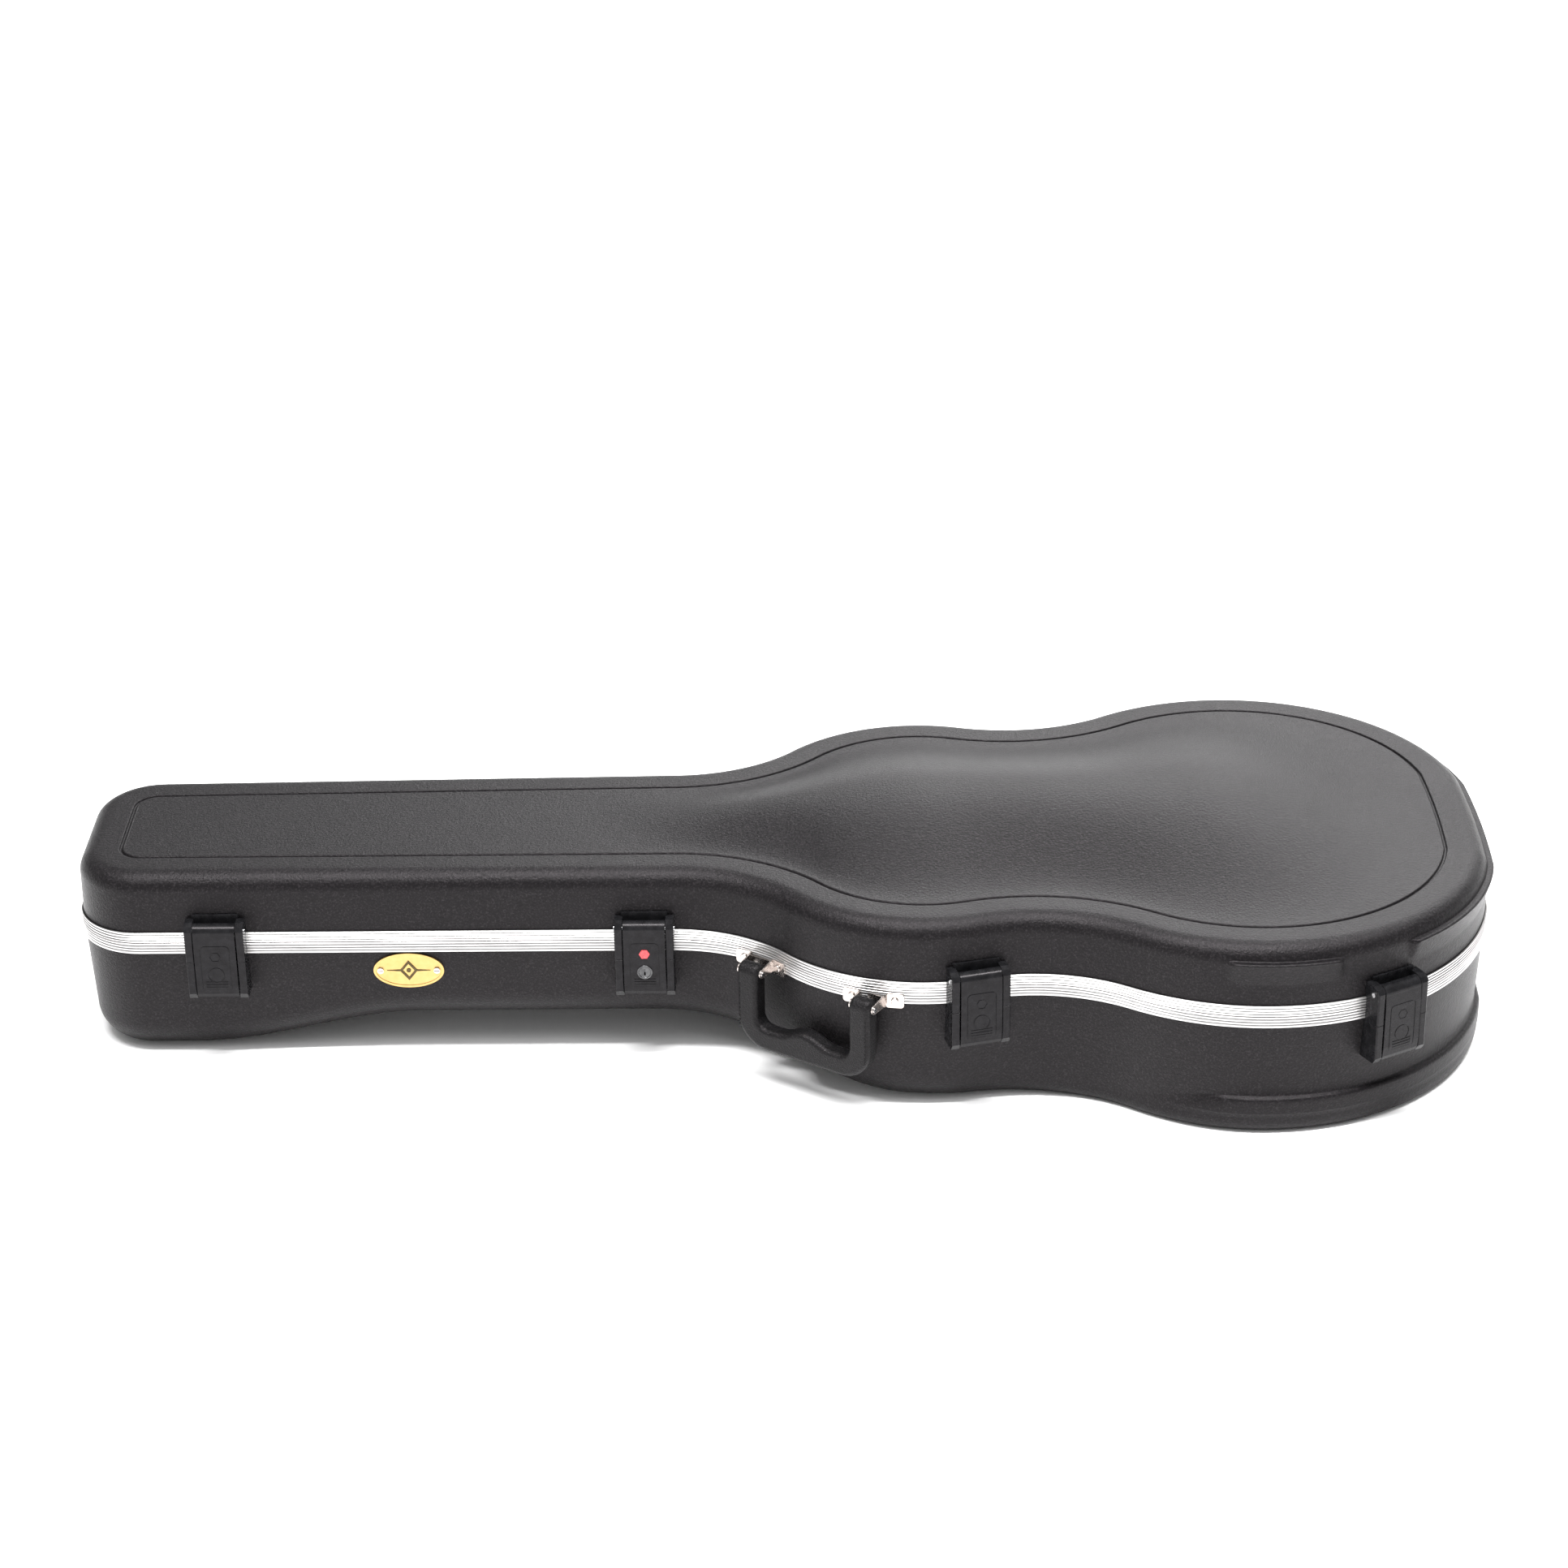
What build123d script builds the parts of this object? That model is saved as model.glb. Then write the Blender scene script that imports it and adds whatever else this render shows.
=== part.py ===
import math
import os

from build123d import *

os.makedirs("parts", exist_ok=True)

# Frame: +X towards the tail, -Y the latch side, +Z up, floor at z = 0. Millimetres.

# --- outline of the shell at the parting line (half above y = 0, mirrored) ---
HEAD_X = -550.0
HEAD_HALF = 86.4
NECK_END_X = -150.5
NECK_END_HALF = 90.6
HEAD_CORNER_R = 51.9
UPPER_BOUT = (109.9, 39.3)
UPPER_BOUT_R = 140.4
SHOULDER_R = 120.0
LOWER_BOUT = (365.2, 36.2)
LOWER_BOUT_R = 185.5
WAIST_R = 134.9
TAIL_CORNER_R = 53.6
TAIL_CORNER_ANGLE = 0.20
TAIL_R = 1098.8

# --- heights ---
PARTING_Z = 102.0
LID_TOP_Z = 159.4
WALL = 4.0
BASE_DRAFT = 3.0
LID_DRAFT = 1.0
BOTTOM_R = 28.0
LID_EDGE_R = 15.0
ARCH_RISE = 27.0
ARCH_HEAD_X = (-462.0, -285.0)
ARCH_BODY_X = (-105.0, 95.0)

# --- lid panel ---
PANEL_INSET = 33.8
GROOVE_HALF = 1.5
GROOVE_DEPTH = 1.8
DOME_RISE = 27.0
DOME_START_X = -150.0
DOME_END_X = 505.0

# --- aluminium band ---
RIM_HEIGHT = 9.3
RIM_PROUD = 1.4
RIM_FLANGE = 2.2
RIM_DEPTH = 7.0
PARTING_GAP = 0.3
RIB_PITCH = 2.4
RIB_GROOVE = 0.7
RIB_DEPTH = 0.45

# --- tail bumpers ---
BUMPER_PROUD = 4.6
BUMPER_TOP = 31.0
BUMPER_START_X = 332.0
BUMPER_EDGE_R = 9.0
FOOT_START_X = 215.0
FOOT_INSET = 5.3
LID_BUMPER_PROUD = 5.2
LID_BUMPER_Z = (128.5, 147.5)
LID_BUMPER_X = ((331.0, 417.0), (471.0, 600.0))

# --- linings ---
LINING_GAP = 0.4
CAVITY_INSET = 18.0
BODY_FLOOR_Z = 18.0
NECK_FLOOR_Z = 64.5
HEAD_FLOOR_Z = 38.0
BODY_WELL_X = -62.0
HEAD_WELL_X = -345.0
LID_CAVITY_Z = 146.0

# --- latches, by their place along the front wall ---
LATCH_X = (-438.4, -106.1, 146.4, 455.5)
LATCH_HALF = 23.0
LEVER_HALF = 16.2
CHEEK_INNER = 16.6
LATCH_FRONT = 15.0
LEVER_TOP = 21.0
LEVER_BOTTOM = -40.5
LATCH_PIN = (8.8, 14.8)
LATCH_PIN_R = 1.9
LOCK_UP = -20.3
HEX_UP = -4.6

# --- handle, in a frame on the chord between its two brackets ---
HANDLE_MID = (27.7, -144.55)
HANDLE_ANGLE = -33.96
HANDLE_PIN = (16.0, -7.5)
HANDLE_ARM = (42.0, 60.0)
HANDLE_THICK = 15.0
HANDLE_DROP = 62.5
BRACKET_FEET_X = (-27.6, -1.2, 53.9, 85.7)

# --- hinges on the back wall ---
HINGE_ANGLE = 8.98
HINGE_DISTANCE = 164.26 + 6.6
HINGE_AT = (-488.0, 96.0, 336.0)
HINGE_HALF = (17.0, 25.0, 25.0)
KNUCKLE_R = 3.5
HINGE_PIN_R = 1.6

# --- nameplate ---
NAMEPLATE_X = -291.0
NAMEPLATE_UP = -25.8
NAMEPLATE_SIZE = (55.0, 31.0)

# --- accessory compartment ---
DOOR_X = (-322.0, -138.0)
DOOR_Y = (-34.0, 36.0)
DOOR_Z = 60.3
DOOR_THICK = 4.0


def outline_corners(inset):
    """Centres and tangent points of the half outline, moved inwards by the inset."""
    origin = Vector(HEAD_X, HEAD_HALF)
    along = (Vector(NECK_END_X, NECK_END_HALF) - origin).normalized()
    out = Vector(-along.Y, along.X)
    upper = Vector(*UPPER_BOUT)
    lower = Vector(*LOWER_BOUT)
    head_x = HEAD_X + HEAD_CORNER_R
    head_y = HEAD_HALF + HEAD_CORNER_R * along.Y / along.X - HEAD_CORNER_R / out.Y
    head = Vector(head_x, head_y)

    lead = origin + out * SHOULDER_R - upper
    half = lead.dot(along)
    reach = lead.dot(lead) - (UPPER_BOUT_R + SHOULDER_R) ** 2
    shoulder = origin + out * SHOULDER_R + along * (-half - math.sqrt(half * half - reach))

    span = lower - upper
    near = UPPER_BOUT_R + WAIST_R
    far = LOWER_BOUT_R + WAIST_R
    part = (near**2 - far**2 + span.length**2) / (2 * span.length)
    rise = math.sqrt(near**2 - part**2)
    unit = span.normalized()
    waist = upper + unit * part + Vector(-unit.Y, unit.X) * rise

    tilt = Vector(math.cos(TAIL_CORNER_ANGLE), math.sin(TAIL_CORNER_ANGLE))
    corner = lower + tilt * (LOWER_BOUT_R - TAIL_CORNER_R)
    tail_x = corner.X - math.sqrt((TAIL_R - TAIL_CORNER_R) ** 2 - corner.Y**2)
    tail = Vector(tail_x, 0)

    arcs = [
        (head, head + Vector(inset - HEAD_CORNER_R, 0), head + out * (HEAD_CORNER_R - inset)),
        (shoulder, shoulder - out * (SHOULDER_R + inset),
         shoulder + (upper - shoulder).normalized() * (SHOULDER_R + inset)),
        (upper, upper + (shoulder - upper).normalized() * (UPPER_BOUT_R - inset),
         upper + (waist - upper).normalized() * (UPPER_BOUT_R - inset)),
        (waist, waist + (upper - waist).normalized() * (WAIST_R + inset),
         waist + (lower - waist).normalized() * (WAIST_R + inset)),
        (lower, lower + (waist - lower).normalized() * (LOWER_BOUT_R - inset),
         lower + tilt * (LOWER_BOUT_R - inset)),
        (corner, corner + tilt * (TAIL_CORNER_R - inset),
         corner + (corner - tail).normalized() * (TAIL_CORNER_R - inset)),
    ]
    return arcs, Vector(tail_x + TAIL_R - inset, 0)


def outline_face(inset, height):
    """The closed outline as a flat face at a height."""
    arcs, tail_tip = outline_corners(inset)
    tail_end = arcs[-1][2]
    with BuildSketch(Plane.XY.offset(height)) as sketch:
        with BuildLine():
            Line(Vector(HEAD_X + inset, 0), arcs[0][1])
            Line(arcs[0][2], arcs[1][1])
            for centre, first, last in arcs:
                radius = (first - centre).length
                middle = centre + ((first + last) / 2 - centre).normalized() * radius
                ThreePointArc(first, middle, last)
            mirror(about=Plane.XZ)
            ThreePointArc(tail_end, tail_tip, Vector(tail_end.X, -tail_end.Y))
        make_face()
    return sketch.sketch


def half_width(x, inset=0.0):
    """Half width of the outline at x, between the head corner and the tail corner."""
    arcs, _ = outline_corners(inset)
    for index, (centre, first, last) in enumerate(arcs):
        if min(first.X, last.X) <= x <= max(first.X, last.X):
            rise = math.sqrt((first - centre).length ** 2 - (x - centre.X) ** 2)
            return centre.Y - rise if index in (1, 3) else centre.Y + rise
    first, last = arcs[0][2], arcs[1][1]
    return first.Y + (last.Y - first.Y) * (x - first.X) / (last.X - first.X)


def wall_frame(x, up=0.0, lean=0.0):
    """Frame on the front wall: X along the wall, Y up, Z outwards, origin on the outline."""
    step = 0.05
    slope = (half_width(x + step) - half_width(x - step)) / (2 * step)
    along = Vector(1, -slope, 0).normalized()
    out = Vector(along.Y, -along.X, 0)
    tilt = math.radians(lean)
    origin = Vector(x, -half_width(x), PARTING_Z + up) + out * (up * math.tan(tilt))
    return Plane(origin, x_dir=along, z_dir=out * math.cos(tilt) - Vector(0, 0, math.sin(tilt)))


def spot(frame, along=0.0, up=0.0, out=0.0):
    """The same frame moved within itself."""
    return Plane(frame.from_local_coords((along, up, out)), x_dir=frame.x_dir, z_dir=frame.z_dir)


def across(frame, along, up, out):
    """A plane at a point of the frame that faces along the wall."""
    return Plane(frame.from_local_coords((along, up, out)), x_dir=frame.z_dir, z_dir=frame.x_dir)


def disc(plane, radius, length, mode=Mode.ADD):
    with BuildSketch(plane) as sketch:
        Circle(radius)
    return extrude(sketch.sketch, amount=length, mode=mode)


def slab(plane, width, height, length, corner=0.0, mode=Mode.ADD):
    with BuildSketch(plane) as sketch:
        if corner:
            RectangleRounded(width, height, corner)
        else:
            Rectangle(width, height)
    return extrude(sketch.sketch, amount=length, mode=mode)


def prism(frame, points, start, end, mode=Mode.ADD):
    """Extrude an (out, up) profile between two places along the wall."""
    origin = frame.from_local_coords((end, 0, 0))
    with BuildSketch(Plane(origin, x_dir=frame.z_dir, z_dir=-frame.x_dir)) as sketch:
        with BuildLine():
            Polyline(*points, close=True)
        make_face()
    return extrude(sketch.sketch, amount=end - start, mode=mode)


def bar(frame, out, up, radius, start, end, mode=Mode.ADD):
    """A round bar along the wall, at an (out, up) place."""
    return disc(across(frame, start, up, out), radius, end - start, mode)


def ring(outer, inner, bottom, top, mode=Mode.ADD):
    """A band between two insets of the outline."""
    with BuildSketch(Plane.XY.offset(bottom)) as sketch:
        add(outline_face(outer, 0))
        add(outline_face(inner, 0), mode=Mode.SUBTRACT)
    return extrude(sketch.sketch, amount=top - bottom, mode=mode)


def box_between(low, high, mode=Mode.ADD):
    """An upright box from one corner to the other."""
    with BuildSketch(Plane.XY.offset(low[2])) as sketch:
        with Locations(((low[0] + high[0]) / 2, (low[1] + high[1]) / 2)):
            Rectangle(high[0] - low[0], high[1] - low[1])
    return extrude(sketch.sketch, amount=high[2] - low[2], mode=mode)


def well(inset, x_from, x_to, bottom, top, mode=Mode.SUBTRACT):
    """The outline at an inset, kept between two x values, as an upright solid."""
    with BuildSketch(Plane.XY.offset(bottom)) as sketch:
        add(outline_face(inset, 0))
        with Locations(((x_from + x_to) / 2, 0)):
            Rectangle(x_to - x_from, 600, mode=Mode.INTERSECT)
    return extrude(sketch.sketch, amount=top - bottom, mode=mode)


def tub(inset, top, lift, radius):
    """The base volume: drafted wall, arched underside, rounded bottom edge."""
    head_from, head_to = ARCH_HEAD_X
    body_from, body_to = ARCH_BODY_X
    with BuildPart() as body:
        extrude(outline_face(inset, top), amount=-(top - lift), taper=BASE_DRAFT)
        with BuildSketch(Plane.XZ) as arch:
            with BuildLine():
                Line((body_to, lift - 20), (head_from, lift - 20))
                Line((head_from, lift - 20), (head_from, lift))
                Spline((head_from, lift), (head_to, lift + ARCH_RISE), tangents=((1, 0), (1, 0)))
                Line((head_to, lift + ARCH_RISE), (body_from, lift + ARCH_RISE))
                Spline((body_from, lift + ARCH_RISE), (body_to, lift), tangents=((1, 0), (1, 0)))
                Line((body_to, lift), (body_to, lift - 20))
            make_face()
        extrude(arch.sketch, amount=300, both=True, mode=Mode.SUBTRACT)
        low = body.edges().filter_by(lambda e: e.bounding_box().max.Z < lift + ARCH_RISE + 1)
        edge = low.filter_by(
            lambda e: e.bounding_box().size.X > 0.01 or e.bounding_box().min.X < HEAD_X + 30
        )
        fillet(edge, radius)
    return body.part


def lid_block(inset, bottom, top, radius):
    """The lid volume: nearly upright wall with a rounded top edge."""
    lean = (top - bottom) * math.tan(math.radians(LID_DRAFT))
    with BuildPart() as body:
        extrude(outline_face(inset + lean, top), amount=bottom - top, taper=-LID_DRAFT)
        fillet(body.faces().sort_by(Axis.Z)[-1].edges(), radius)
    return body.part


def ease(value, start, end):
    """Smooth step from 0 at start to 1 at end."""
    part = min(max((value - start) / (end - start), 0.0), 1.0)
    return part * part * (3 - 2 * part)


def dome_height(x, y):
    """How far the lid panel rises above the flat of the lid."""
    if not DOME_START_X < x < DOME_END_X:
        return 0.0
    side = abs(y) / half_width(x, PANEL_INSET + GROOVE_HALF)
    if side >= 1:
        return 0.0
    swell = ease(x, DOME_START_X, 120.0) * (1 - ease(x, 330.0, DOME_END_X))
    return DOME_RISE * swell * (1 - side * side) ** 2


def under_dome(inset, bottom):
    """The volume of the panel column below the domed surface."""
    columns = 45
    rows = 29
    grid = []
    for column in range(columns):
        x = -548.0 + 1096.0 * column / (columns - 1)
        line = []
        for row in range(rows):
            y = -212.0 + 424.0 * row / (rows - 1)
            line.append(Vector(x, y, LID_TOP_Z + dome_height(x, y)))
        grid.append(line)
    surface = Face.make_surface_from_array_of_points(grid, tol=0.3)
    with BuildPart() as column_part:
        extrude(outline_face(inset, bottom), amount=60)
        add(Solid.extrude(surface, Vector(0, 0, -80)), mode=Mode.INTERSECT)
    return column_part.part


def wall_cutter():
    """What the wall and the band take up, with a little clearance, for parts that hug them."""
    with BuildPart() as cutter:
        ring(-RIM_PROUD - 0.15, 30, PARTING_Z - RIM_HEIGHT - 0.2, PARTING_Z + RIM_HEIGHT + 0.2)
        extrude(outline_face(-0.15, PARTING_Z), amount=-60, taper=BASE_DRAFT)
        extrude(outline_face(-0.15, PARTING_Z), amount=50)
    return cutter.part


def save(builder, name):
    """Label a finished piece and write its STEP file."""
    builder.part.label = name
    export_step(builder.part, f"parts/{name}.step")


HUG = wall_cutter()
SHELL_TOP = PARTING_Z - RIM_FLANGE
LID_BOTTOM = PARTING_Z + RIM_FLANGE

# --- shells ---

tub_outer = tub(0.0, SHELL_TOP, 0.0, BOTTOM_R)
tub_inner = tub(WALL, SHELL_TOP, WALL, BOTTOM_R - WALL)
bumper_inset = (SHELL_TOP - BUMPER_TOP) * math.tan(math.radians(BASE_DRAFT)) - BUMPER_PROUD

with BuildPart() as bumper:
    well(bumper_inset, BUMPER_START_X, 600, 0, BUMPER_TOP, Mode.ADD)
    fillet(bumper.faces().sort_by(Axis.Z)[-1].edges(), 2.0)
    fillet(bumper.faces().sort_by(Axis.Z)[0].edges(), BUMPER_EDGE_R)

# Under the lower bout the bottom edge is tighter than along the neck.
with BuildPart() as tail_foot:
    well(FOOT_INSET, FOOT_START_X, BUMPER_START_X + 10, 0, BUMPER_TOP, Mode.ADD)
    fillet(tail_foot.faces().sort_by(Axis.Z)[0].edges(), BUMPER_EDGE_R)

with BuildPart() as base_shell:
    add(tub_outer)
    add(tail_foot.part)
    add(bumper.part)
    add(tub_inner, mode=Mode.SUBTRACT)
save(base_shell, "base_shell")

lid_outer = lid_block(0.0, LID_BOTTOM, LID_TOP_Z, LID_EDGE_R)
lid_inner = lid_block(WALL, LID_BOTTOM, LID_TOP_Z - WALL, LID_EDGE_R - WALL)
panel = under_dome(PANEL_INSET + GROOVE_HALF, LID_TOP_Z - WALL)
bumper_low, bumper_high = LID_BUMPER_Z
flush_inset = (bumper_low - LID_BOTTOM) * math.tan(math.radians(LID_DRAFT)) + 0.15
proud_inset = (bumper_high - LID_BOTTOM) * math.tan(math.radians(LID_DRAFT)) - LID_BUMPER_PROUD
bumper_slope = math.degrees(math.atan((flush_inset - proud_inset) / (bumper_high - bumper_low)))

# The lid bumpers are wedges: proud at the top edge, flush with the wall at the foot.
with BuildPart() as lid_bumpers:
    extrude(outline_face(proud_inset, bumper_high), amount=bumper_low - bumper_high,
            taper=bumper_slope)
    chamfer(lid_bumpers.faces().sort_by(Axis.Z)[-1].edges(), 1.5)
    with BuildSketch(Plane.XY.offset(bumper_low)):
        for x_from, x_to in LID_BUMPER_X:
            with Locations(((x_from + x_to) / 2, 0)):
                Rectangle(x_to - x_from, 600)
    extrude(amount=bumper_high - bumper_low, mode=Mode.INTERSECT)

with BuildPart() as dome_hollow:
    for hollow_z, hollow_x, hollow_y in ((LID_TOP_Z - 8.0, (0, 440), 70), (174.0, (100, 380), 40)):
        with BuildSketch(Plane.XY.offset(hollow_z)):
            with Locations((sum(hollow_x) / 2, 0)):
                Rectangle(hollow_x[1] - hollow_x[0], 2 * hollow_y)
    loft(ruled=True)

with BuildPart() as lid_shell:
    add(lid_outer)
    add(lid_bumpers.part)
    add(lid_inner, mode=Mode.SUBTRACT)
    extrude(outline_face(PANEL_INSET - GROOVE_HALF, LID_TOP_Z - GROOVE_DEPTH), amount=10,
            mode=Mode.SUBTRACT)
    extrude(outline_face(PANEL_INSET + GROOVE_HALF, LID_TOP_Z - 10), amount=20,
            mode=Mode.SUBTRACT)
    add(panel)
    add(dome_hollow.part, mode=Mode.SUBTRACT)
save(lid_shell, "lid_shell")

# --- aluminium band ---

for rim_name, side in (("base_rim", -1), ("lid_rim", 1)):
    near = PARTING_Z + side * PARTING_GAP
    far = PARTING_Z + side * RIM_HEIGHT
    flange = PARTING_Z + side * RIM_FLANGE
    with BuildPart() as rim:
        ring(-RIM_PROUD, 0.0, min(near, far), max(near, far))
        ring(-RIM_PROUD, RIM_DEPTH, min(near, flange), max(near, flange))
        for rib in range(3):
            groove = near + side * (2.1 + rib * RIB_PITCH)
            ring(-RIM_PROUD - 1, -RIM_PROUD + RIB_DEPTH, groove - RIB_GROOVE / 2,
                 groove + RIB_GROOVE / 2, Mode.SUBTRACT)
    save(rim, rim_name)

# --- linings ---

lining_top = PARTING_Z - 4.0
lining_tub = tub(WALL + LINING_GAP + 0.1, lining_top, WALL + LINING_GAP,
                 BOTTOM_R - WALL - LINING_GAP)

with BuildPart() as base_lining:
    add(lining_tub)
    well(CAVITY_INSET, BODY_WELL_X, 600, BODY_FLOOR_Z, lining_top + 1)
    well(CAVITY_INSET, HEAD_WELL_X - 1, BODY_WELL_X + 1, NECK_FLOOR_Z, lining_top + 1)
    well(CAVITY_INSET, -600, HEAD_WELL_X, HEAD_FLOOR_Z, lining_top + 1)
    box_between((DOOR_X[0] + 4, DOOR_Y[0] + 4, ARCH_RISE + 10),
                (DOOR_X[1] - 4, DOOR_Y[1] - 4, NECK_FLOOR_Z + 1), Mode.SUBTRACT)
    box_between((DOOR_X[0] - 0.5, DOOR_Y[0] - 0.5, DOOR_Z - 0.3),
                (DOOR_X[1] + 0.5, DOOR_Y[1] + 0.5, NECK_FLOOR_Z + 1), Mode.SUBTRACT)
save(base_lining, "base_lining")

with BuildPart() as lid_lining:
    add(lid_block(WALL + LINING_GAP, LID_BOTTOM + 1.0, LID_TOP_Z - WALL - LINING_GAP,
                  LID_EDGE_R - WALL - LINING_GAP))
    extrude(outline_face(CAVITY_INSET, LID_BOTTOM), amount=LID_CAVITY_Z - LID_BOTTOM,
            mode=Mode.SUBTRACT)
save(lid_lining, "lid_lining")

with BuildPart() as neck_rest:
    box_between((-112, -44, NECK_FLOOR_Z + 0.2), (-68, 44, 90))
    with BuildSketch(Plane.YZ.offset(-120)) as notch:
        with Locations((0, 96)):
            Circle(27)
    extrude(notch.sketch, amount=60, mode=Mode.SUBTRACT)
    fillet(neck_rest.edges().filter_by(Axis.Z), 5)
save(neck_rest, "neck_rest")

# --- accessory compartment door ---

with BuildPart() as compartment_lid:
    box_between((DOOR_X[0], DOOR_Y[0], DOOR_Z), (DOOR_X[1], DOOR_Y[1], DOOR_Z + DOOR_THICK))
    fillet(compartment_lid.edges().filter_by(Axis.Z), 3)
save(compartment_lid, "compartment_lid")

with BuildPart() as compartment_tab:
    box_between((-240, DOOR_Y[0] + 3, DOOR_Z + DOOR_THICK), (-220, DOOR_Y[0] + 21, DOOR_Z + 6.2))
    fillet(compartment_tab.edges().filter_by(Axis.Z), 4)
save(compartment_tab, "compartment_tab")

# --- latches ---

FRONT = LATCH_FRONT
SPLIT = -9.6
CHEEKS = ((-LATCH_HALF, -CHEEK_INNER), (CHEEK_INNER, LATCH_HALF))
BASE_CHEEK = ((-8, -PARTING_GAP), (1, -PARTING_GAP - 0.6), (FRONT, SPLIT - 0.5), (FRONT, -37.5),
              (12, -42.5), (-8, -42.5))
LID_CHEEK = ((-8, PARTING_GAP), (1, PARTING_GAP - 0.6), (FRONT, SPLIT), (FRONT, 16.5),
             (12.5, 20), (8, 21.5), (-8, 21.5))
LEVER_SIDE = ((14.9, 15), (15.5, 4), (15.5, -30), (14.7, -37.5), (13.6, LEVER_BOTTOM),
              (11.8, LEVER_BOTTOM), (11.6, -37), (11.6, 1), (8.8, 9))
HOOK_SIDE = ((6.2, -14), (11.6, -14), (11.6, -4), (9.4, -4), (9.4, -9.5), (6.2, -9.5))


def front_edges(body, frame):
    """The upright edges at the front of a latch housing."""
    return body.edges().filter_by(Axis.Z).filter_by(
        lambda edge: frame.to_local_coords(edge.center()).Z > FRONT - 0.2
    )


with BuildPart() as latch_strikers:
    for place in LATCH_X:
        prism(wall_frame(place), ((1.9, -22), (5.4, -22), (5.4, -13), (1.9, -13)), -8, 8)
save(latch_strikers, "latch_strikers")

for number, place in enumerate(LATCH_X, start=1):
    frame = wall_frame(place)
    with BuildPart() as latch_base:
        for start, end in CHEEKS:
            prism(frame, BASE_CHEEK, start, end)
        prism(frame, ((-8, -10.5), (1.9, -10.5), (1.9, -42.5), (-8, -42.5)), -18, 18)
        fillet(front_edges(latch_base, frame), 1.2)
        add(HUG, mode=Mode.SUBTRACT)
    save(latch_base, f"latch_base_{number}")

    with BuildPart() as latch_head:
        for start, end in CHEEKS:
            prism(frame, LID_CHEEK, start, end)
        prism(frame, ((-8, 10), (1.6, 10), (1.6, 25), (-8, 25)), -18, 18)
        fillet(front_edges(latch_head, frame), 1.2)
        add(HUG, mode=Mode.SUBTRACT)
        bar(frame, *LATCH_PIN, LATCH_PIN_R, -30, 30, Mode.SUBTRACT)
    save(latch_head, f"latch_head_{number}")

    with BuildPart() as latch_pin:
        bar(frame, *LATCH_PIN, LATCH_PIN_R, -LATCH_HALF - 0.5, LATCH_HALF + 0.5)
    save(latch_pin, f"latch_pin_{number}")

    locked = number == 2
    face = 15.5
    with BuildPart() as latch_lever:
        prism(frame, LEVER_SIDE, -LEVER_HALF, LEVER_HALF)
        bar(frame, *LATCH_PIN, 6.2, -LEVER_HALF, LEVER_HALF)
        bar(frame, *LATCH_PIN, LATCH_PIN_R + 0.1, -30, 30, Mode.SUBTRACT)
        with BuildSketch(spot(frame, up=-15, out=face - 0.4)) as outline:
            RectangleRounded(23, 40, 3.5)
            RectangleRounded(22, 39, 3.2, mode=Mode.SUBTRACT)
            with Locations((0, -15 + 0.4)):
                with GridLocations(0, 2.3, 1, 4):
                    SlotOverall(17, 1.1)
            if not locked:
                with Locations((0, LOCK_UP + 15)):
                    Circle(6.6)
                    Circle(5.9, mode=Mode.SUBTRACT)
                with Locations((0, HEX_UP + 15)):
                    RegularPolygon(4.4, 6)
                    RegularPolygon(3.8, 6, mode=Mode.SUBTRACT)
        extrude(outline.sketch, amount=3, mode=Mode.SUBTRACT)
        if locked:
            disc(spot(frame, up=LOCK_UP, out=10), 6.0, 8, Mode.SUBTRACT)
            with BuildSketch(spot(frame, up=HEX_UP, out=face - 0.6)) as socket:
                RegularPolygon(4.3, 6)
            extrude(socket.sketch, amount=3, mode=Mode.SUBTRACT)
    save(latch_lever, f"latch_lever_{number}")

    with BuildPart() as latch_hook:
        prism(frame, HOOK_SIDE, -7, 7)
    save(latch_hook, f"latch_hook_{number}")

lock_frame = wall_frame(LATCH_X[1])
lock_spot = spot(lock_frame, up=LOCK_UP)

with BuildPart() as lock_bezel:
    disc(spot(lock_spot, out=11.8), 6.0, 4.4)
    disc(spot(lock_spot, out=11), 4.6, 8, Mode.SUBTRACT)
    fillet(lock_bezel.edges().filter_by(GeomType.CIRCLE).sort_by(Axis.Y)[0:2], 0.4)
save(lock_bezel, "lock_bezel")

with BuildPart() as lock_cylinder:
    disc(spot(lock_spot, out=11.4), 4.5, 4.4)
    slab(spot(lock_spot, out=13.2), 1.3, 5.6, 4, mode=Mode.SUBTRACT)
save(lock_cylinder, "lock_cylinder")

with BuildPart() as lock_cam:
    slab(spot(lock_spot, up=-3.0, out=9.2), 5, 12, 2.2, 2.0)
save(lock_cam, "lock_cam")

with BuildPart() as lock_inlay:
    with BuildSketch(spot(lock_frame, up=HEX_UP, out=face - 0.6)) as hexagon:
        RegularPolygon(4.2, 6)
    extrude(hexagon.sketch, amount=0.9)
save(lock_inlay, "lock_inlay")

# --- handle ---

swing = math.radians(HANDLE_ANGLE)
handle_along = Vector(math.cos(swing), math.sin(swing), 0)
handle_out = Vector(math.sin(swing), -math.cos(swing), 0)
handle_frame = Plane((*HANDLE_MID, PARTING_Z), x_dir=handle_along, z_dir=handle_out)
pin_out, pin_up = HANDLE_PIN
arm_in, arm_out = HANDLE_ARM
grip_low = pin_up - HANDLE_DROP

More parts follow.
